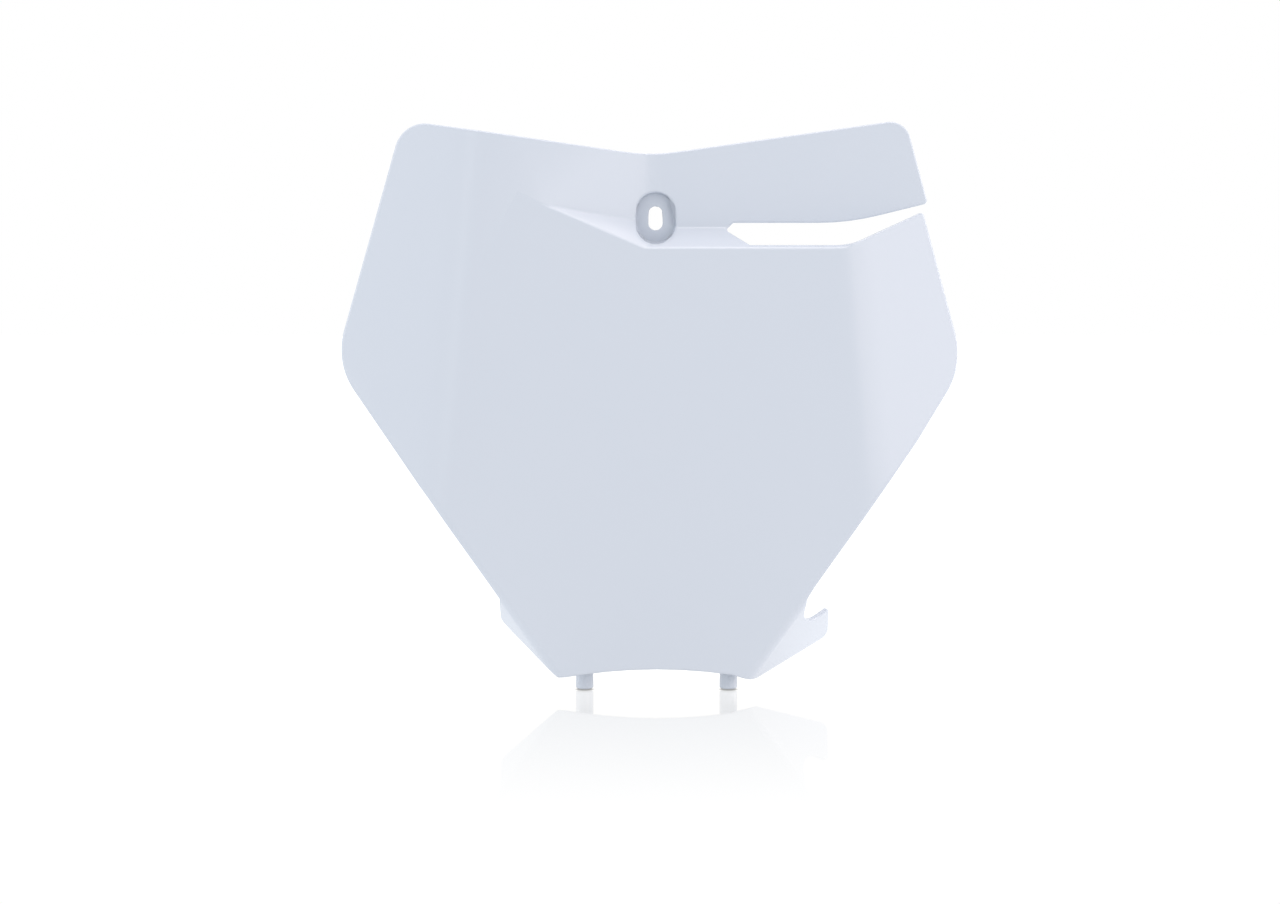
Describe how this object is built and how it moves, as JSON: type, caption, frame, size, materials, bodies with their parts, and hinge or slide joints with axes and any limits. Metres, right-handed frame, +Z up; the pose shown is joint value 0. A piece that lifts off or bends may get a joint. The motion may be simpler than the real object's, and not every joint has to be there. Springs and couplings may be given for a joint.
{
  "type": "racing number board",
  "caption": "Front number board of a racing motorbike: a folded plastic panel with swept wings, a screw recess, a hose slot, a hooked ear and locating pegs.",
  "frame": {"origin": "midway between the two locating pegs, at the lower ends of their straight shanks", "axes": "+X to the right as the board is looked at from the front, -Y out of the front face, +Z up"},
  "size_m": [0.2789, 0.0415, 0.2559],
  "materials": {
    "gloss_white_plastic": "gloss"
  },
  "bodies": {
    "root": {"number_board": "gloss_white_plastic"}
  },
  "joints": []
}
